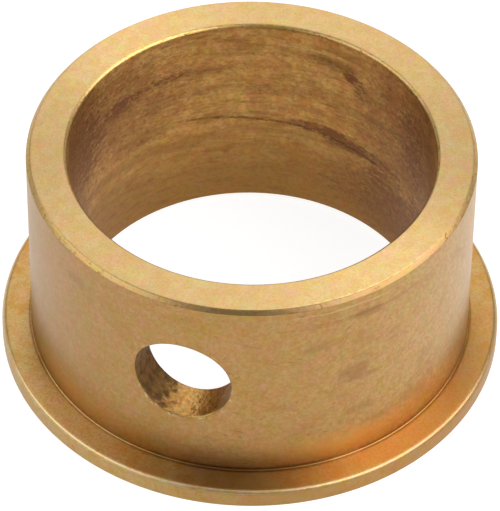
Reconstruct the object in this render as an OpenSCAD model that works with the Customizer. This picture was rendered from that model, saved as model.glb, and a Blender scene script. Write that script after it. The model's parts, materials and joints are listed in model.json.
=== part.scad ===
// Flanged bronze sleeve bushing, turned from one piece of bronze, with one cross-drilled oil hole.
// The axis is Z. The outer face of the flange lies on Z = 0 and the plain end of the sleeve points up.
// All sizes are in millimetres.

/* [Sleeve] */
// Diameter of the bore that a shaft turns in
bore_d = 18; // [10:0.5:30]
// Thickness of the sleeve's wall
wall = 2; // [1:0.1:4]
// Overall length, flange included
overall_length = 12; // [10:0.5:40]
// Lead-in chamfer round the outside of the plain end, which enters the housing first
lead_chamfer = 0.2; // [0.05:0.05:0.4]
// Chamfer round the bore at the plain end
plain_end_bore_chamfer = 0.15; // [0.05:0.05:0.4]
// Chamfer round the bore at the flange end
flange_end_bore_chamfer = 0.25; // [0.05:0.05:0.4]

/* [Flange] */
// How far the thrust flange stands out from the sleeve
flange_overhang = 1.5; // [0.5:0.1:6]
// Thickness of the thrust flange
flange_thickness = 1; // [0.9:0.1:1.8]
// Chamfer round the flange's rim on its sleeve side
rim_chamfer = 0.15; // [0.05:0.05:0.4]
// Chamfer round the flange's rim on its outer face
rim_edge_break = 0.05; // [0.05:0.05:0.4]

/* [Oil hole] */
// Diameter of the drilled oil hole
oil_hole_d = 4.8; // [2:0.1:6]
// Height of the oil hole's centre above the flange's outer face
oil_hole_height = 6.7; // [5:0.1:6.7]

/* [Hidden] */
// Segments in a full turn
$fn = 180;
// How far the drill starts outside the metal
drill_start = 1;
bore_r = bore_d / 2;
sleeve_r = bore_r + wall;
flange_r = sleeve_r + flange_overhang;

// Half section of the turned blank, with radius along X and height along Y,
// listed from the flange's outer face round the rim, up the sleeve and back down the bore
module turned_section() {
    polygon([
        [bore_r + flange_end_bore_chamfer, 0],
        [flange_r - rim_edge_break, 0],
        [flange_r, rim_edge_break],
        [flange_r, flange_thickness - rim_chamfer],
        [flange_r - rim_chamfer, flange_thickness],
        [sleeve_r, flange_thickness],
        [sleeve_r, overall_length - lead_chamfer],
        [sleeve_r - lead_chamfer, overall_length],
        [bore_r + plain_end_bore_chamfer, overall_length],
        [bore_r, overall_length - plain_end_bore_chamfer],
        [bore_r, flange_end_bore_chamfer]
    ]);
}

// Drill for the oil hole, which goes through the wall on the -Y side only and stops in the bore
module oil_drill() {
    translate([0, 0, oil_hole_height])
        rotate([90, 0, 0])
            cylinder(d = oil_hole_d, h = sleeve_r + drill_start);
}

// The whole bushing: the turned blank with its oil hole drilled
module flanged_bush() {
    color("peru")
        difference() {
            rotate_extrude() turned_section();
            oil_drill();
        }
}

flanged_bush();
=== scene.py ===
import json
import math

import bpy
import numpy as np
from mathutils import Matrix, Vector


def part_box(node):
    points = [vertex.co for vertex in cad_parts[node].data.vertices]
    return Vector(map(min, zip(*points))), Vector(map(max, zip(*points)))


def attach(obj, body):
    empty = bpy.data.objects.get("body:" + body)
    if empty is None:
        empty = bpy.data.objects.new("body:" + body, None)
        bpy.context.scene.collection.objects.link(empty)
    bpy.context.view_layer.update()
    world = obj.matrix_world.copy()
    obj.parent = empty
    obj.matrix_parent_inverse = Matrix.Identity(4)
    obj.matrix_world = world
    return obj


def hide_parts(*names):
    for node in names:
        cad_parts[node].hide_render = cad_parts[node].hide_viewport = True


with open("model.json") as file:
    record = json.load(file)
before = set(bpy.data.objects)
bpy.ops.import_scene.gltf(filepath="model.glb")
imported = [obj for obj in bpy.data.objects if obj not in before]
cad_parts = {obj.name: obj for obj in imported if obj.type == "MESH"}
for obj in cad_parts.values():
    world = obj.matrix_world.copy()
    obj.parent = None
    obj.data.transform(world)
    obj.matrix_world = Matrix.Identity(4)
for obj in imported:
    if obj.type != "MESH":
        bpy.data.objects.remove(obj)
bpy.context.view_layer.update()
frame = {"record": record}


# ---------------------------------------------------------------------------------------------
# The bushing: a sleeve and a thin thrust flange turned from one cast bronze blank on a lathe,
# bored through, chamfered at every end, then cross drilled for oil and deburred by hand.
# It is one piece of metal, so one closed skin carries all its faces.

low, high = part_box("flanged_bush")
mounts = {mount["name"]: mount for mount in frame["record"]["mounts"]}
FLANGE_R = high.x
LENGTH = high.z
BORE_R = mounts["bore"]["dims"]["r_mm"] / 1000
SLEEVE_R = mounts["housing_seat"]["dims"]["r_mm"] / 1000
FLANGE_TOP = mounts["sleeve_side_face"]["pos_m"][2]
HOLE_R = mounts["oil_hole"]["dims"]["r_mm"] / 1000
HOLE_HEIGHT = mounts["oil_hole"]["pos_m"][2]

MM = 0.001
LEAD_CHAMFER = 0.2 * MM      # this and the four below are the CAD part's
PLAIN_BORE_CHAMFER = 0.15 * MM
FLANGE_BORE_CHAMFER = 0.25 * MM
RIM_CHAMFER = 0.15 * MM
RIM_EDGE_BREAK = 0.05 * MM
EDGE_ROUND = 0.03 * MM       # what handling leaves of a freshly cut edge
RIM_ROUND = 0.25 * MM        # the flange's rim is broken more roundly, with a file
LEAD_ROUND = 0.14 * MM       # inner edge of the lead-in chamfer, worn by handling
ROOT_ROUND = 0.06 * MM       # nose radius of the turning tool at the foot of the sleeve
MOUTH_ROUND = 0.12 * MM      # deburred mouth of the oil hole
BORE_ROUND = 0.20 * MM       # both edges of the bore's chamfer at the plain end, worn by the shaft
GROOVE_WIDTH = 0.16 * MM     # the tool dips where the flange meets the sleeve
GROOVE_DEPTH = 0.022 * MM
GROOVE_LIP = 0.09 * MM       # width of that groove's sloping outer side
GROOVE_ROUND = 0.03 * MM

COLUMNS = 432                # steps round the full turn
HOLE_COLUMNS = 24            # of those, steps from the oil hole's axis to the side of its patch
HOLE_BAND = 3.4 * MM         # height of that patch above and below the oil hole's axis
BAND_ROWS = 24               # steps up the patch
ARC_STEPS = 4                # steps round each rounded corner
PATCH_RINGS = 14             # rings of the collar between a patch's border and the hole's mouth
MOUTH_RINGS = 6              # rings round the rounded mouth
BARREL_RINGS = 12            # rings through the wall
RING_CROWDING = 0.8          # below 1, the collar's rings crowd towards the mouth

# The skin's material slots, in the order in which its finishes are added.
END_FACE, FLANGE_SKIN, CUT_EDGE, RIM_EDGE, SLEEVE_SKIN, BORE_SKIN, HOLE_SKIN = range(7)

# Corners of the half section as (radius, height, rounding, steps up to the next corner, finish
# of that stretch), from the bore's mouth in the flange outwards, up the sleeve and down the bore.
band_low, band_high = HOLE_HEIGHT - HOLE_BAND, HOLE_HEIGHT + HOLE_BAND
SECTION = [
    (BORE_R + FLANGE_BORE_CHAMFER, 0, EDGE_ROUND, 9, END_FACE),
    (FLANGE_R - RIM_EDGE_BREAK, 0, EDGE_ROUND / 2, 1, RIM_EDGE),
    (FLANGE_R, RIM_EDGE_BREAK, EDGE_ROUND / 2, 6, FLANGE_SKIN),
    (FLANGE_R, FLANGE_TOP - RIM_CHAMFER, RIM_ROUND, 3, RIM_EDGE),
    (FLANGE_R - RIM_CHAMFER, FLANGE_TOP, RIM_ROUND, 9, FLANGE_SKIN),
    (SLEEVE_R + GROOVE_WIDTH, FLANGE_TOP, GROOVE_ROUND, 1, FLANGE_SKIN),
    (SLEEVE_R + GROOVE_WIDTH - GROOVE_LIP, FLANGE_TOP - GROOVE_DEPTH, GROOVE_ROUND, 1, FLANGE_SKIN),
    (SLEEVE_R, FLANGE_TOP - GROOVE_DEPTH, ROOT_ROUND, 7, SLEEVE_SKIN),
    (SLEEVE_R, band_low, 0, BAND_ROWS, SLEEVE_SKIN),
    (SLEEVE_R, band_high, 0, 7, SLEEVE_SKIN),
    (SLEEVE_R, LENGTH - LEAD_CHAMFER, EDGE_ROUND, 3, CUT_EDGE),
    (SLEEVE_R - LEAD_CHAMFER, LENGTH, LEAD_ROUND, 9, END_FACE),
    (BORE_R + PLAIN_BORE_CHAMFER, LENGTH, BORE_ROUND, 3, CUT_EDGE),
    (BORE_R, LENGTH - PLAIN_BORE_CHAMFER, BORE_ROUND, 7, BORE_SKIN),
    (BORE_R, band_high, 0, BAND_ROWS, BORE_SKIN),
    (BORE_R, band_low, 0, 7, BORE_SKIN),
    (BORE_R, FLANGE_BORE_CHAMFER, EDGE_ROUND, 3, CUT_EDGE),
]


def rounded_section(corners):
    """Points of a closed outline, with the finish of the stretch after each and the row at each
    corner. A corner with a rounding is the arc that touches both its sides. Its ends lie
    rounding * tan(turn / 2) from the corner. The points between are the centre plus the spokes
    to the two ends, weighted by sin((1 - share) * turn) and sin(share * turn) over sin(turn).
    The finish changes halfway round the arc."""
    points, finishes, corner_rows = [], [], []
    places = [np.array(corner[:2], float) for corner in corners]
    sides = [b - a for a, b in zip(places, places[1:] + places[:1])]
    unit = [side / np.linalg.norm(side) for side in sides]
    turns = [math.acos(np.clip(unit[i - 1] @ unit[i], -1, 1)) for i in range(len(corners))]
    cut = [rounding * math.tan(turn / 2) for (_, _, rounding, _, _), turn in zip(corners, turns)]
    for i, (_, _, rounding, steps, finish) in enumerate(corners):
        corner_rows.append(len(points))
        if rounding:
            share = np.linspace(0, 1, ARC_STEPS + 1)[:, None]
            entry, leave = places[i] - cut[i] * unit[i - 1], places[i] + cut[i] * unit[i]
            chord = leave - entry
            middle = (entry + leave) / 2
            inwards = middle - places[i]
            centre = middle + inwards * (np.linalg.norm(chord) / 2 / np.linalg.norm(inwards)) ** 2
            spokes = np.sin((1 - share) * turns[i]) * (entry - centre)
            spokes = spokes + np.sin(share * turns[i]) * (leave - centre)
            points.extend(centre + spokes / math.sin(turns[i]))
            half = ARC_STEPS // 2
            finishes.extend([corners[i - 1][-1]] * half + [finish] * (ARC_STEPS + 1 - half))
        else:
            points.append(places[i])
            finishes.append(finish)
        after = (i + 1) % len(corners)
        start, end = points[-1], places[after] - cut[after] * unit[i]
        points.extend(start + (end - start) * np.arange(1, steps)[:, None] / steps)
        finishes.extend([finish] * (steps - 1))
    return np.array(points), np.array(finishes), corner_rows


def turned(points, angles):
    """Rows of points turned about the Z axis: x = r cos(angle), y = r sin(angle), z = height."""
    radius, height = points[:, :1], points[:, 1:]
    x, y = radius * np.cos(angles), radius * np.sin(angles)
    return np.stack([x, y, np.broadcast_to(height, x.shape)], axis=-1)


def patch_loop(row_a, row_b):
    """The grid's vertex numbers round the oil hole's patch, which runs from row_a to row_b and
    lies HOLE_COLUMNS to each side of column 0, starting at its first corner."""
    rows = np.linspace(row_a, row_b, BAND_ROWS + 1).astype(int)
    columns = np.arange(-HOLE_COLUMNS, HOLE_COLUMNS + 1)
    numbers = rows[:, None] * COLUMNS + columns % COLUMNS
    first_row, last_column = numbers[0, :-1], numbers[:-1, -1]
    last_row, first_column = numbers[-1, :0:-1], numbers[:0:-1, 0]
    return np.concatenate([first_row, last_column, last_row, first_column])


def on_cylinder(radius, across, height):
    """Points of the cylinder about Z on its -Y side: y = -sqrt(radius^2 - across^2)."""
    return np.stack([across, -np.sqrt(radius**2 - across**2), height], axis=-1)


def drilled_collar(outer_loop, inner_loop):
    """Rings of points from the patch on the sleeve, round the oil hole's outer mouth, through
    its barrel and round its inner mouth to the patch in the bore. Between a patch and its mouth
    a ring slides from the patch's border to a circle about the drill's axis. At a mouth the
    radius is hole + round * (1 - sin(turn)) while the ring sinks by round * (1 - cos(turn))."""
    rings = []
    mouth = HOLE_R + MOUTH_ROUND
    bearing = np.unwrap(np.arctan2(outer_loop[:, 2] - HOLE_HEIGHT, outer_loop[:, 0]))
    across, up = np.cos(bearing), np.sin(bearing)
    spread = 1 - np.linspace(0, 1, PATCH_RINGS + 1)[1:] ** RING_CROWDING

    def patch_rings(loop, radius, shares):
        side = np.arcsin(loop[:, 0] / radius)
        circle = np.arcsin(mouth * across / radius)
        for share in shares:
            angle = circle + (side - circle) * share
            height = HOLE_HEIGHT + mouth * up + (loop[:, 2] - HOLE_HEIGHT - mouth * up) * share
            rings.append(on_cylinder(radius, radius * np.sin(angle), height))

    def mouth_rings(radius, sinks, turns):
        for turn in turns:
            ring_r = HOLE_R + MOUTH_ROUND * (1 - math.sin(turn))
            sunk = radius + sinks * MOUTH_ROUND * (1 - math.cos(turn))
            rings.append(on_cylinder(sunk, ring_r * across, HOLE_HEIGHT + ring_r * up))

    turns = np.linspace(0, math.pi / 2, MOUTH_RINGS + 1)[1:]
    patch_rings(outer_loop, SLEEVE_R, spread)
    mouth_rings(SLEEVE_R, -1, turns)
    start = rings[-1]
    turns = turns[::-1]
    mouth_rings(BORE_R, 1, turns[:1])
    end = rings.pop()
    for share in np.linspace(0, 1, BARREL_RINGS + 1)[1:]:
        rings.append(start + (end - start) * share)
    mouth_rings(BORE_R, 1, turns[1:])
    patch_rings(inner_loop, BORE_R, spread[:0:-1])
    return np.array(rings)


def bush_skin():
    """The closed skin as (vertices, quads, finish of each quad): the turned section with the two
    patches left out, and the drilled collar that joins them."""
    points, finishes, corner_rows = rounded_section(SECTION)
    rows = len(points)
    angles = np.arange(COLUMNS) * 2 * math.pi / COLUMNS - math.pi / 2
    grid = turned(points, angles).reshape(-1, 3)
    row, column = np.meshgrid(np.arange(rows), np.arange(COLUMNS), indexing="ij")
    above, beside = (row + 1) % rows, (column + 1) % COLUMNS
    quads = np.stack([row * COLUMNS + column, row * COLUMNS + beside,
                      above * COLUMNS + beside, above * COLUMNS + column], axis=-1)
    beside_hole = (column < HOLE_COLUMNS) | (column >= COLUMNS - HOLE_COLUMNS)
    row_at = {corner[:2]: corner_row for corner, corner_row in zip(SECTION, corner_rows)}
    outer_a, outer_b = row_at[SLEEVE_R, band_low], row_at[SLEEVE_R, band_high]
    inner_b, inner_a = row_at[BORE_R, band_high], row_at[BORE_R, band_low]
    patch = (row >= outer_a) & (row < outer_b) | (row >= inner_b) & (row < inner_a)
    kept = ~(patch & beside_hole)
    quad_finish = np.broadcast_to(finishes[:, None], kept.shape)[kept]
    quads = quads[kept]

    outer_loop, inner_loop = patch_loop(outer_a, outer_b), patch_loop(inner_a, inner_b)
    rings = drilled_collar(grid[outer_loop], grid[inner_loop])
    around = len(outer_loop)
    ring_numbers = len(grid) + np.arange(len(rings) * around).reshape(-1, around)
    numbers = np.vstack([outer_loop, ring_numbers, inner_loop])
    here, there = numbers[:-1], numbers[1:]
    collar = np.stack([here, np.roll(here, -1, axis=1), np.roll(there, -1, axis=1), there], axis=-1)
    ring_finish = np.full(len(here), SLEEVE_SKIN)
    barrel_start = PATCH_RINGS + MOUTH_RINGS // 2
    barrel_end = barrel_start + BARREL_RINGS + MOUTH_RINGS
    ring_finish[barrel_start:barrel_end] = HOLE_SKIN
    ring_finish[barrel_end:] = BORE_SKIN
    collar_finish = np.repeat(ring_finish, around)

    vertices = np.vstack([grid, rings.reshape(-1, 3)])
    quads = np.vstack([quads, collar.reshape(-1, 4)])
    used, quads = np.unique(quads, return_inverse=True)
    return vertices[used], quads.reshape(-1, 4), np.concatenate([quad_finish, collar_finish])


def mesh_piece(name, vertices, quads, finish):
    """A smooth-shaded mesh object at the origin, made of quads, each with its finish's slot."""
    mesh = bpy.data.meshes.new(name)
    mesh.vertices.add(len(vertices))
    mesh.vertices.foreach_set("co", vertices.astype(np.float32).ravel())
    mesh.loops.add(quads.size)
    mesh.loops.foreach_set("vertex_index", quads.astype(np.int32).ravel())
    mesh.polygons.add(len(quads))
    mesh.polygons.foreach_set("loop_start", np.arange(0, quads.size, 4, dtype=np.int32))
    mesh.polygons.foreach_set("material_index", finish.astype(np.int32))
    mesh.update(calc_edges=True)
    mesh.validate()
    mesh.shade_smooth()
    piece = bpy.data.objects.new(name, mesh)
    bpy.context.scene.collection.objects.link(piece)
    return piece


class Value:
    """A number that varies over the surface: a node's output socket, with Python's operators."""

    def __init__(self, finish, socket):
        self.finish, self.socket = finish, socket

    def with_maths(self, operation, *terms):
        return self.finish.node("ShaderNodeMath", {"operation": operation}, dict(enumerate(terms)))

    def __add__(self, other):
        return self.with_maths("ADD", self, other)

    def __sub__(self, other):
        return self.with_maths("SUBTRACT", self, other)

    def __rsub__(self, other):
        return self.with_maths("SUBTRACT", other, self)

    def __mul__(self, other):
        return self.with_maths("MULTIPLY", self, other)

    def __truediv__(self, other):
        return self.with_maths("DIVIDE", self, other)

    def __rtruediv__(self, other):
        return self.with_maths("DIVIDE", other, self)

    def __pow__(self, other):
        return self.with_maths("POWER", self, other)

    def __rpow__(self, other):
        return self.with_maths("POWER", other, self)

    def __abs__(self):
        return self.with_maths("ABSOLUTE", self)

    __radd__ = __add__
    __rmul__ = __mul__


class Finish:
    """One procedural finish: a material whose nodes are added by node()."""

    def __init__(self, name, **constants):
        self.material = bpy.data.materials.new(name)
        self.material.use_nodes = True
        self.tree = self.material.node_tree
        self.shader = self.tree.nodes["Principled BSDF"]
        for socket, value in constants.items():
            self.shader.inputs[socket.replace("_", " ").title()].default_value = value

    def plug(self, value, socket):
        if isinstance(value, Value):
            self.tree.links.new(value.socket, socket)
        else:
            socket.default_value = value

    def node(self, kind, settings, inputs, output=0):
        """Adds a node. Its settings come first, then the value or link of each input, which is
        named by its number or identifier. Returns the output of that number or identifier."""
        made = self.tree.nodes.new(kind)
        for setting, value in settings.items():
            setattr(made, setting, value)
        for key, value in inputs.items():
            found = [s for i, s in enumerate(made.inputs) if key in (i, s.identifier)]
            self.plug(value, found[0])
        found = [s for i, s in enumerate(made.outputs) if output in (i, s.identifier)]
        return Value(self, found[0])

    def place(self, stretch=(1, 1, 1)):
        """The point on the bushing in millimetres, stretched along each axis."""
        point = self.node("ShaderNodeTexCoord", {}, {}, "Object")
        scale = [s / MM for s in stretch]
        return self.node("ShaderNodeVectorMath", {"operation": "MULTIPLY"}, {0: point, 1: scale})

    def along(self, axis):
        """How far along X, Y or Z (axis 0, 1 or 2) the point on the bushing is, in millimetres."""
        return self.node("ShaderNodeSeparateXYZ", {}, {0: self.place()}, axis)

    def noise(self, where, scale, detail=3.0, rough=0.5):
        """Cloudy noise from 0 to 1, with `scale` cells to the millimetre."""
        inputs = {"Vector": where, "Scale": scale, "Detail": detail, "Roughness": rough}
        return self.node("ShaderNodeTexNoise", {}, inputs, "Fac")

    def step(self, value, zero_at, one_at):
        """0 where value is at zero_at or past it, 1 at one_at or past it, and smooth between."""
        inputs = {"Value": value, "From Min": zero_at, "From Max": one_at}
        return self.node("ShaderNodeMapRange", {"interpolation_type": "SMOOTHSTEP"}, inputs)

    def blend(self, share, first, second):
        """The colour `first` where share is 0 and `second` where it is 1."""
        inputs = {"Factor_Float": share, "A_Color": first, "B_Color": second}
        return self.node("ShaderNodeMix", {"data_type": "RGBA"}, inputs, "Result_Color")

    def radius_and_height(self):
        """Distance from the bushing's axis, and height above its flange face, in millimetres."""
        x, y, z = (self.along(axis) for axis in range(3))
        return (x * x + y * y) ** 0.5, z

    def degrees_from(self, side):
        """How far round the axis, in degrees towards +X, from the bushing's +Y side (side 1) or
        from its oil hole's side (side -1)."""
        turn = {0: self.along(0), 1: self.along(1) * side}
        return self.node("ShaderNodeMath", {"operation": "ARCTAN2"}, turn) * math.degrees(1)

    def near(self, value, middle, reach):
        """1 where value is at middle, falling smoothly to 0 at reach to either side."""
        return self.step(abs(value - middle), reach, 0.0)

    def blotched(self, first, second, third, scale):
        """Three tones of tarnish in soft blotches, `scale` to the millimetre."""
        broad = self.noise(self.place(), scale, 4.0, 0.65)
        other = self.noise(self.place((-1, 1, 1)), scale * 1.3, 3.0, 0.6)
        tone = self.blend(self.step(broad, 0.38, 0.62), first, second)
        return self.blend(self.step(other, 0.48, 0.66) * 0.7, tone, third)

    def mottled(self, tone):
        """The tone under a faint bloom of tarnish. One cloud moves it between pink and green,
        and the other takes blue away or adds it."""
        pink = self.noise(self.place((1, -1, 1)), 1.3, 4.0, 0.85) - 0.5
        blue = self.noise(self.place((1, 1, -1)), 1.3, 4.0, 0.85) - 0.5
        tints = {0: 1 + 0.35 * pink, 1: 1 - 0.45 * pink, 2: 1 + 1.4 * blue}
        tint = self.node("ShaderNodeCombineXYZ", {}, tints)
        return self.node("ShaderNodeVectorMath", {"operation": "MULTIPLY"}, {0: tone, 1: tint})

    def oval_patches(self, around, height, places, ragged):
        """The sum of oval patches, listed as how far round in degrees, height, half width in degrees,
        half
        height and strength: stains, and in the bore also broad painted shade. The value ragged breaks
        up their borders. Its mean is about 2.2, so a patch is strongest at its middle and gone where
        across^2 + up^2 is 1.5."""
        total = 0.0
        for middle, level, half_width, half_height, strength in places:
            across = (around - middle) / half_width
            up = (height - level) / half_height
            total = total + self.step(across * across + up * up + ragged, 3.7, 2.1) * strength
        return total

    def root_shade(self, grain):
        """Painted shade in the corner where the sleeve stands on the flange: even for a tenth of a
        millimetre, gone by a quarter of one, ragged, patchy, and thickest below the oil hole, at the
        front."""
        radius, height = self.radius_and_height()
        away = (radius - SLEEVE_R / MM) + (height - FLANGE_TOP / MM)
        patchy = self.step(self.noise(self.place(), 0.25, 2.0), 0.42, 0.55)
        under_hole = self.near(self.degrees_from(-1), *DARKEST_ROOT_SHADE)
        return self.step(away + grain * 0.16, 0.34, 0.18) * (0.1 + 0.3 * patchy + 0.45 * under_hole)

    def lanes(self, turn, width, length):
        """The point in cells of that width and length in millimetres, whose long side is the Y
        axis turned by the Euler angles `turn`."""
        inputs = {"Vector": self.place(), "Rotation": turn, "Scale": (width, length, width)}
        return self.node("ShaderNodeMapping", {"vector_type": "TEXTURE"}, inputs)

    def scratches(self, turn, width, keep):
        """Thin straight marks: the crests above `keep` of noise drawn out along `turn`."""
        return self.step(self.noise(self.lanes(turn, width, 40 * width), 1.0, 1.0), keep, keep + 0.05)

    def finish(self, tone, roughness, height, depth, metallic=1.0):
        """Plugs in what varies: colour, roughness, a relief `depth` millimetres high, and how
        bare the metal is, which dried oil covers."""
        bump = {"Strength": 1.0, "Distance": depth * MM, "Height": height}
        self.plug(self.mottled(tone), self.shader.inputs["Base Color"])
        self.plug(roughness, self.shader.inputs["Roughness"])
        self.plug(metallic, self.shader.inputs["Metallic"])
        self.plug(self.node("ShaderNodeBump", {}, bump), self.shader.inputs["Normal"])
        return self.material


def colour(red, green, blue):
    return (red, green, blue, 1.0)


PAINTED_LIGHT_BRONZE = colour(0.80, 0.56, 0.26)
GOLDEN_BRONZE = colour(0.57, 0.385, 0.155)
PALE_BRONZE = colour(0.61, 0.43, 0.19)
BLUSH_BRONZE = colour(0.60, 0.375, 0.185)
FRESH_BRONZE = colour(0.48, 0.318, 0.118)
WARM_BRONZE = colour(0.395, 0.222, 0.070)
ROSE_BRONZE = colour(0.425, 0.238, 0.106)
OLIVE_BRONZE = colour(0.35, 0.242, 0.074)
SANDY_BRONZE = colour(0.60, 0.380, 0.150)
BRIGHT_BRONZE = colour(0.60, 0.44, 0.23)
COPPERY_BRONZE = colour(0.64, 0.375, 0.112)
RUSSET_BRONZE = colour(0.54, 0.295, 0.084)
BURNT_BRONZE = colour(0.50, 0.245, 0.072)
RIM_SHADE_BRONZE = colour(0.33, 0.185, 0.085)
ORANGE_SHADE_BRONZE = colour(0.48, 0.222, 0.060)
CHAMFER_SHADE_BRONZE = colour(0.245, 0.148, 0.063)
BROWN_BRONZE = colour(0.31, 0.155, 0.040)
UMBER_BRONZE = colour(0.20, 0.080, 0.028)
DARK_BRONZE = colour(0.17, 0.078, 0.020)
SOOTY_BRONZE = colour(0.055, 0.027, 0.010)

TURNED = {"anisotropic": 0.8, "anisotropic_rotation": 0.25}   # grooves about Z

# Where a tone lies on the metal: its middle in degrees round from the oil hole towards +X, and how
# many degrees it takes to fade out to either side. All but the tool line place painted light or
# shade:
# in order, a painted highlight on the end face's edge, orange-tinted painted shade on the flange,
# painted shade at its front, painted light at its front left, painted shade on the chamfers and on
# the rim's edges, painted light on the sleeve's side, a painted reflection of the flange at the
# sleeve's foot (two rows), and painted shade deepest at the front of the sleeve's root.
EDGE_HIGHLIGHT = (48, 44)
FLANGE_ORANGE_SHADE = (80, 74)
FLANGE_FRONT_SHADE = (31, 32)
FLANGE_LEFT_LIGHT = (-18, 34)
CHAMFER_SHADE = (43, 76)
RIM_EDGE_SHADE = (68, 75)
SLEEVE_SIDE_LIGHT = (95, 70)
FLANGE_REFLECTION_RIGHT = (38, 34)
FLANGE_REFLECTION_LEFT = (-36, 34)
TOOL_LINE = (44, 26)
DARKEST_ROOT_SHADE = (10, 34)


def end_face_finish():
    """Faced on the lathe: fine rings about the axis under a soft, even grain. On one side a painted
    highlight, ragged on its inner border, widens the chamfer's highlight onto the face's outer edge."""
    made = Finish("bronze_end_face", **TURNED)
    radius, _ = made.radius_and_height()
    rings = made.noise(made.node("ShaderNodeCombineXYZ", {}, {0: radius}), 9.0, 3.0)
    tone = made.blotched(GOLDEN_BRONZE, PALE_BRONZE, BLUSH_BRONZE, 1.7)
    grain = made.noise(made.place(), 8.0, 4.0, 0.75)
    tone = made.blend(made.step(grain, 0.60, 0.35) * 0.35, tone, WARM_BRONZE)
    # Painted highlight: the face's outer edge is lightened on the side towards +X, next to the lit
    # chamfer.
    highlight_ragging = made.noise(made.place(), 3.0, 3.0, 0.7) * 0.5
    edge_highlight = made.step(radius + highlight_ragging, SLEEVE_R / MM - 0.04, SLEEVE_R / MM + 0.04)
    tone = made.blend(edge_highlight * made.near(made.degrees_from(-1), *EDGE_HIGHLIGHT) * 0.6, tone, PAINTED_LIGHT_BRONZE)
    return made.finish(tone, 0.34 + 0.14 * grain, rings + grain * 1.2, 0.008)


def flange_finish():
    """The flange's rim and its sleeve side: turned, then tarnished in patches by handling, with
    orange-tinted painted shade on the side towards the right lamp, painted shade at the front,
    painted light at the front left, and painted shade in the corner at the foot of the sleeve."""
    made = Finish("bronze_flange", **TURNED)
    tone = made.blotched(GOLDEN_BRONZE, RUSSET_BRONZE, SANDY_BRONZE, 1.3)
    around = made.degrees_from(-1) + made.noise(made.place(), 0.5) * 30.0
    # Painted shade, tinted orange, on the flange's side towards the right lamp.
    orange_shade = made.near(around, *FLANGE_ORANGE_SHADE)
    tone = made.blend(orange_shade * 0.85, tone, ORANGE_SHADE_BRONZE)
    radius, _ = made.radius_and_height()
    rim = made.step(radius, FLANGE_R / MM - 0.25, FLANGE_R / MM - 0.10)    # 1 on the rim's wall
    tone = made.blend(rim * 0.4, tone, OLIVE_BRONZE)
    # Painted shade: the rim's wall is darker on that side too.
    tone = made.blend(orange_shade * rim * 0.45, tone, BROWN_BRONZE)
    # Painted shade at the front, where the flange faces the camera.
    front_shade = made.near(around, *FLANGE_FRONT_SHADE) * (0.50 - 0.26 * rim)
    tone = made.blend(front_shade, tone, DARK_BRONZE)
    # Painted light: the flange is lighter at its front left.
    left_light = made.near(around, *FLANGE_LEFT_LIGHT) * (0.42 - 0.34 * rim)
    tone = made.blend(left_light, tone, PAINTED_LIGHT_BRONZE)
    grain = made.noise(made.place(), 7.0, 4.0, 0.7)
    handled = made.noise(made.place((1, 1, -1)), 2.2, 4.0, 0.75)
    tone = made.blend(rim * made.step(handled, 0.46, 0.58) * 0.35, tone, ROSE_BRONZE)
    tone = made.blend(rim * made.step(handled, 0.44, 0.36) * 0.4, tone, BROWN_BRONZE)
    tone = made.blend(made.step(grain, 0.60, 0.35) * 0.38, tone, BROWN_BRONZE)
    # Painted shade in the corner at the foot of the sleeve.
    tone = made.blend(made.root_shade(grain), tone, DARK_BRONZE)
    return made.finish(tone, 0.30 + 0.16 * grain, grain, 0.005)


def cut_edge_finish():
    """Chamfers, cut last and left bright, with small nicks, and darkened by painted shade at the
    front and on the side towards +X."""
    made = Finish("bronze_cut_edge")
    grain = made.noise(made.place(), 6.0, 3.0, 0.6)
    nicks = made.step(made.noise(made.place(), 1.7, 3.0, 0.7), 0.60, 0.68)
    tone = made.blend(made.step(grain, 0.22, 0.52), BROWN_BRONZE, FRESH_BRONZE)
    # Painted shade on the chamfers at the front and towards +X.
    tone = made.blend(made.near(made.degrees_from(-1), *CHAMFER_SHADE), tone, CHAMFER_SHADE_BRONZE)
    tone = made.blend(nicks * 0.5, tone, DARK_BRONZE)
    return made.finish(tone, 0.28 + 0.16 * grain, grain - nicks * 0.8, 0.010)


def rim_edge_finish():
    """The rim's edges, brightened by handling, with painted shade browning them on the side towards
    +X.
    """
    made = Finish("bronze_rim_edge")
    grain = made.noise(made.place(), 5.0, 3.0, 0.6)
    tone = made.blend(made.step(grain, 0.35, 0.60), GOLDEN_BRONZE, BRIGHT_BRONZE)
    # Painted shade on the rim's edges towards +X, where the right lamp's highlight falls.
    tone = made.blend(made.near(made.degrees_from(-1), *RIM_EDGE_SHADE) * 0.9, tone, RIM_SHADE_BRONZE)
    return made.finish(tone, 0.24 + 0.24 * grain, grain, 0.010)


# Stains on the sleeve, counted round from the oil hole.
SLEEVE_STAINS = [
    (48, 10.6, 6, 0.28, 0.65),
    (56, 10.7, 18, 0.13, 0.35),
    (34, 10.6, 12, 0.14, 0.30),
    (44, 6.9, 5, 0.50, 0.60),
    (48, 6.3, 7, 0.20, 0.50),
    (34, 9.2, 4, 0.35, 0.45),
    (47, 4.1, 6, 0.35, 0.50),
    (52, 2.9, 6, 0.25, 0.50),
    (25, 5.3, 5, 0.30, 0.35),
    (-31, 10.2, 5, 0.35, 0.45),
]

SCRATCH_TURN, CROSS_SCRATCH_TURN = (0.64, 0, -0.5), (-0.3, 0, -1.2)     # Euler angles
TOOL_LINE_HEIGHT = 11.38     # millimetres above the flange's outer face, as the stains' heights


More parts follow.
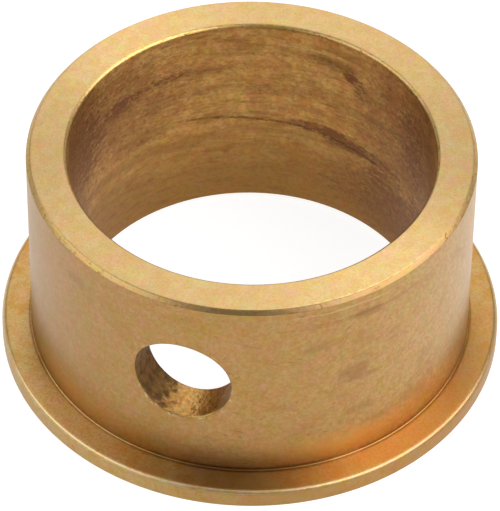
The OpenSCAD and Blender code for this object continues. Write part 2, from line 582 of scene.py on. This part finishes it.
def sleeve_finish():
    """The sleeve's outside: fine turned, with a mottled tarnish and light handling scratches, one
    pale tool line under the chamfer, painted light on its side towards +X, an orange painted
    reflection of the flange above its foot, painted shade at its foot, and a torn burr round the oil
    hole."""
    made = Finish("bronze_sleeve")
    turning = made.noise(made.place((0.3, 0.3, 9.0)), 1.0, 3.0, 0.6)
    cloud = made.noise(made.place(), 0.8, 4.0, 0.6)
    tone = made.blotched(WARM_BRONZE, ROSE_BRONZE, OLIVE_BRONZE, 2.6)
    hue = made.blend(made.step(cloud, 0.40, 0.60), ROSE_BRONZE, OLIVE_BRONZE)
    tone = made.blend(0.45, tone, hue)
    grain = made.noise(made.place(), 4.5, 5.0, 0.75)
    strokes = made.noise(made.lanes(SCRATCH_TURN, 0.30, 1.7), 1.0, 4.0, 0.65)
    tone = made.blend(made.step(strokes, 0.50, 0.34) * 0.25, tone, BROWN_BRONZE)
    tone = made.blend(made.step(strokes, 0.54, 0.72) * 0.1, tone, BLUSH_BRONZE)
    marks = made.scratches(SCRATCH_TURN, 0.14, 0.70)
    marks = marks + made.scratches(CROSS_SCRATCH_TURN, 0.12, 0.71)
    tone = made.blend(marks * 0.45, tone, DARK_BRONZE)
    _, height = made.radius_and_height()
    around = made.degrees_from(-1)
    # Painted light: the sleeve is lighter on its side towards +X.
    side_light = made.near(around + cloud * 30.0, *SLEEVE_SIDE_LIGHT) * 0.55
    tone = made.blend(side_light, tone, SANDY_BRONZE)
    tone = made.blend(made.step(grain, 0.64, 0.36) * 0.6, tone, BROWN_BRONZE)
    smudges = made.step(made.noise(made.place((1, -1, 1.4)), 0.55, 5.0, 0.7), 0.52, 0.66) * 0.4
    tone = made.blend(smudges, tone, BROWN_BRONZE)
    spots = made.oval_patches(around, height, SLEEVE_STAINS, cloud * 3.0 + grain * 1.4)
    tone = made.blend(spots * (0.1 + grain), tone, UMBER_BRONZE)
    # Painted reflection: the flange's orange glow on the sleeve above its foot, mostly on the right.
    flange_reflection = made.near(around, *FLANGE_REFLECTION_RIGHT) + made.near(around, *FLANGE_REFLECTION_LEFT) * 0.45
    flange_reflection = flange_reflection * made.near(height + cloud, 2.5, 1.4)
    tone = made.blend(flange_reflection * 0.6, tone, COPPERY_BRONZE)
    tool_line = made.near(height + (cloud - 0.5) * 0.2, TOOL_LINE_HEIGHT, 0.07)
    tool_line = tool_line * made.near(around, *TOOL_LINE)
    tone = made.blend(tool_line * 0.5, tone, PALE_BRONZE)
    # Painted shade in the corner at the foot of the sleeve.
    tone = made.blend(made.root_shade(grain), tone, DARK_BRONZE)
    across = made.along(0)
    up = height - HOLE_HEIGHT / MM
    from_mouth = (across * across + up * up) ** 0.5 - HOLE_R / MM
    burr = made.near(from_mouth, 0.10, 0.20) * made.step(abs(around), 40.0, 30.0)
    burr = burr * (0.35 + 0.65 * made.step(up, 0.0, -2.0))
    torn = made.noise(made.place(), 2.1, 3.0, 0.6)
    tone = made.blend(burr * made.step(torn, 0.52, 0.62) * 0.8, tone, BRIGHT_BRONZE)
    tone = made.blend(burr * made.step(torn, 0.50, 0.40) * 0.7, tone, BROWN_BRONZE)
    relief = grain + strokes * 0.2 + turning * 0.3 - marks * 0.8
    relief = relief + tool_line * 0.5 + burr * torn * 3.0
    dull = made.step(height, 3.4, 1.2)
    return made.finish(tone, 0.30 + 0.14 * grain + 0.08 * dull, relief, 0.007)


# Stains that a shaft and its oil left in the bore, and in the last five rows broad painted shade
# on the wall, counted round from the side opposite the oil hole.
BORE_STAINS_AND_SHADE = [
    (9, 10.3, 10, 0.45, 0.60),
    (16, 9.8, 3, 0.35, 1.20),
    (20, 9.2, 4, 0.60, 0.55),
    (5, 5.6, 11, 0.30, 0.90),
    (14, 5.2, 9, 0.55, 1.20),
    (26, 5.1, 14, 0.35, 0.55),
    (-65, 9.0, 9, 0.45, 0.60),
    (-40, 9.2, 24, 0.30, 0.45),
    (-8, 7.8, 22, 0.45, 0.35),
    (-56, 5.6, 3, 0.25, 0.60),
    (55, 8.0, 16, 5.00, 0.60),
    (34, 7.5, 18, 4.00, 0.50),
    (-62, 8.5, 24, 3.20, 0.55),
    (-92, 9.0, 18, 5.50, 0.80),
    (38, 2.5, 30, 2.20, 0.85),
]

# One long scored line: its height opposite the oil hole, its climb for each degree towards +X,
# its middle, and how many degrees it reaches to either side of that.
SCORE_HEIGHT, SCORE_CLIMB, SCORE_MIDDLE, SCORE_REACH = 5.35, -0.016, -5, 42
BARE_LINE_HEIGHT, BARE_LINE_MIDDLE = 10.80, 3       # a short line that the shaft rubbed bare


def bore_finish():
    """The bore, where its shaft's wear left bands and dark oily streaks that run round the wall, with
    one long scored line, one short bare line and patches of burnt stain. Painted shade darkens it
    towards the bottom, and broad painted shade lies on its wall."""
    made = Finish("bronze_bore", anisotropic=0.5, anisotropic_rotation=0.25)
    bands = made.noise(made.place((0.15, 0.15, 1.0)), 1.6, 4.0, 0.6)
    streaks = made.noise(made.place((0.5, 0.5, 3.0)), 1.2, 5.0, 0.7)
    grain = made.noise(made.place((1, 1, 1.4)), 4.0, 3.0, 0.7)
    _, height = made.radius_and_height()
    tone = made.blotched(COPPERY_BRONZE, BURNT_BRONZE, RUSSET_BRONZE, 1.4)
    # Painted shade: the bore is darker towards the bottom.
    tone = made.blend(made.step(height + bands * 4.0, 10.5, 2.5), tone, BROWN_BRONZE)
    tone = made.blend(made.step(bands, 0.52, 0.36) * 0.5, tone, BROWN_BRONZE)
    around = made.degrees_from(1)
    # Oily streaks and stains, with broad painted shade on the wall from the table's last five rows.
    soot_and_shade = made.step(streaks, 0.50, 0.70) * 0.5
    soot_and_shade = soot_and_shade + made.oval_patches(around, height, BORE_STAINS_AND_SHADE, streaks * 3.0 + grain * 1.4)
    speckle = made.noise(made.place((1, 1, 2)), 4.0, 4.0, 0.7)
    soot_and_shade = soot_and_shade * (0.55 + 0.8 * made.step(speckle, 0.34, 0.66))
    wavy_height = height + (streaks - 0.5) * 0.3
    score = made.near(wavy_height - around * SCORE_CLIMB, SCORE_HEIGHT, 0.15)
    score = score * made.step(abs(around - SCORE_MIDDLE), SCORE_REACH, SCORE_REACH - 12)
    tone = made.blend(soot_and_shade, tone, UMBER_BRONZE)
    score = score * (0.2 + 0.8 * made.step(speckle, 0.44, 0.54))
    tone = made.blend(score * 0.72, tone, SOOTY_BRONZE)
    bare = made.near(wavy_height, BARE_LINE_HEIGHT, 0.07)
    bare = bare * made.step(abs(around - BARE_LINE_MIDDLE), 14.0, 8.0)
    tone = made.blend(bare * 0.7, tone, PALE_BRONZE)
    tone = made.blend(made.step(grain, 0.58, 0.35) * 0.35, tone, DARK_BRONZE)
    relief = grain * 0.6 + streaks - score
    return made.finish(tone, 0.42 + 0.16 * grain, relief, 0.011)


def oil_hole_finish():
    """The oil hole's wall, with the drill's feed marks round it and old oil dried on its sides."""
    made = Finish("bronze_oil_hole")
    feed = made.noise(made.place((0.5, 8.0, 0.5)), 1.0, 3.0, 0.6)
    grain = made.noise(made.place(), 5.0, 4.0, 0.7)
    tone = made.blend(made.step(grain, 0.36, 0.66), WARM_BRONZE, COPPERY_BRONZE)
    tone = made.blend(made.step(feed, 0.5, 0.75) * 0.6, tone, DARK_BRONZE)
    chatter = made.noise(made.place(), 2.4, 3.0, 0.6)
    across = made.along(0) + chatter * 2.0 - 1.0
    oil = made.step(across, -0.4, -1.4) + made.step(across, 1.2, 2.2) * 0.5
    tone = made.blend(oil * (0.4 + 0.8 * grain), tone, DARK_BRONZE)
    tone = made.blend(oil * made.step(chatter, 0.60, 0.36) * 0.6, tone, SOOTY_BRONZE)
    relief = feed * 0.6 + grain + chatter * 4
    return made.finish(tone, 0.30 + 0.2 * grain + oil * 0.3, relief, 0.02, 1.0 - oil * 0.4)


bush = mesh_piece("turned_bush", *bush_skin())
for made_finish in (end_face_finish, flange_finish, cut_edge_finish, rim_edge_finish, sleeve_finish,
                    bore_finish, oil_hole_finish):
    bush.data.materials.append(made_finish())
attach(bush, "root")
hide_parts("flanged_bush")


# ---------------------------------------------------------------------------------------------
# The table under the bushing: one plain pale sheet of opal plastic, lit from below, which glows
# as evenly inside the bore as outside. It isn't part of the object.

TABLE_HALF = 3.0
TABLE_GAP = 0.01 * MM        # the two faces don't coincide
TABLE_GREY = colour(0.25, 0.25, 0.25)
TABLE_GLOW = 0.88


def table_sheet():
    """A square of side 2 * TABLE_HALF that lies TABLE_GAP below the flange's outer face."""
    corners = np.array([[-1, -1, 0], [1, -1, 0], [1, 1, 0], [-1, 1, 0]], float) * TABLE_HALF
    corners[:, 2] = low.z - TABLE_GAP
    return corners, np.array([[0, 1, 2, 3]]), np.zeros(1)


table = mesh_piece("table", *table_sheet())
opal = Finish("table_opal", base_color=TABLE_GREY, roughness=0.9, emission_color=colour(1, 1, 1),
              emission_strength=TABLE_GLOW)
table.data.materials.append(opal.material)


# ---------------------------------------------------------------------------------------------
# Studio light: one long softbox above and behind, one on the right, a weaker one on the left, a
# low bright backdrop strip behind, and a dim room all round. Surfaces that face the camera
# squarely reflect little but the room.

VIEW_AZIMUTH = math.radians(17.22)
VIEW_ELEVATION = math.radians(45.35)


def toward(azimuth, elevation):
    """Unit vector from the bushing at an azimuth, counted from the camera's side towards its
    right, and an elevation, both in radians."""
    turn = VIEW_AZIMUTH + azimuth
    level = math.cos(elevation)
    return Vector((math.sin(turn) * level, -math.cos(turn) * level, math.sin(elevation)))


def softbox(name, azimuth, elevation, distance, width, height, radiance):
    """A rectangular area light aimed at the bushing, at an azimuth and elevation in degrees and
    sizes in metres. Power is radiance times pi times area."""
    lamp = bpy.data.lights.new(name, "AREA")
    lamp.shape = "RECTANGLE"
    lamp.size, lamp.size_y = width, height
    lamp.energy = radiance * math.pi * width * height
    holder = bpy.data.objects.new(name, lamp)
    back = toward(math.radians(azimuth), math.radians(elevation))
    holder.rotation_euler = (-back).to_track_quat("-Z", "Y").to_euler()
    holder.location = back * distance
    bpy.context.scene.collection.objects.link(holder)


softbox("softbox_above", azimuth=180, elevation=60, distance=0.50, width=0.27, height=0.84,
        radiance=1.51)
softbox("softbox_right", azimuth=74, elevation=42, distance=0.45, width=0.56, height=0.36,
        radiance=4.3)
softbox("softbox_left", azimuth=-80, elevation=38, distance=0.50, width=0.64, height=0.30,
        radiance=1.85)
softbox("backdrop", azimuth=180, elevation=10, distance=0.90, width=2.4, height=0.28,
        radiance=0.9)

ROOM_GREY = colour(0.30, 0.30, 0.30)
room = bpy.data.worlds.new("room")
room.use_nodes = True
room.node_tree.nodes["Background"].inputs["Color"].default_value = ROOM_GREY
bpy.context.scene.world = room
bpy.context.scene.view_settings.view_transform = "Standard"


# ---------------------------------------------------------------------------------------------
# Camera: a long lens that looks down at the plain end, with the oil hole left of the middle. It
# is rolled a little, and aimed a little below the bushing's centre.

CAMERA_DISTANCE = 0.2047
LENS = 290.5
CAMERA_ROLL = math.radians(0.72)
AIM_RIGHT = -0.045 * MM
AIM_UP = -0.918 * MM

sight = toward(0, VIEW_ELEVATION)
level_right = Vector((math.cos(VIEW_AZIMUTH), math.sin(VIEW_AZIMUTH), 0))
level_up = sight.cross(level_right)
right = level_right * math.cos(CAMERA_ROLL) + level_up * math.sin(CAMERA_ROLL)
up = level_up * math.cos(CAMERA_ROLL) - level_right * math.sin(CAMERA_ROLL)
aim = Vector((0, 0, LENGTH / 2)) + right * AIM_RIGHT + up * AIM_UP

lens = bpy.data.cameras.new("camera")
lens.lens = LENS
lens.clip_start, lens.clip_end = 0.01, 20
camera = bpy.data.objects.new("camera", lens)
camera.matrix_world = Matrix.Translation(aim + sight * CAMERA_DISTANCE) @ Matrix(
    (right, up, sight)).transposed().to_4x4()
bpy.context.scene.collection.objects.link(camera)
bpy.context.scene.camera = camera
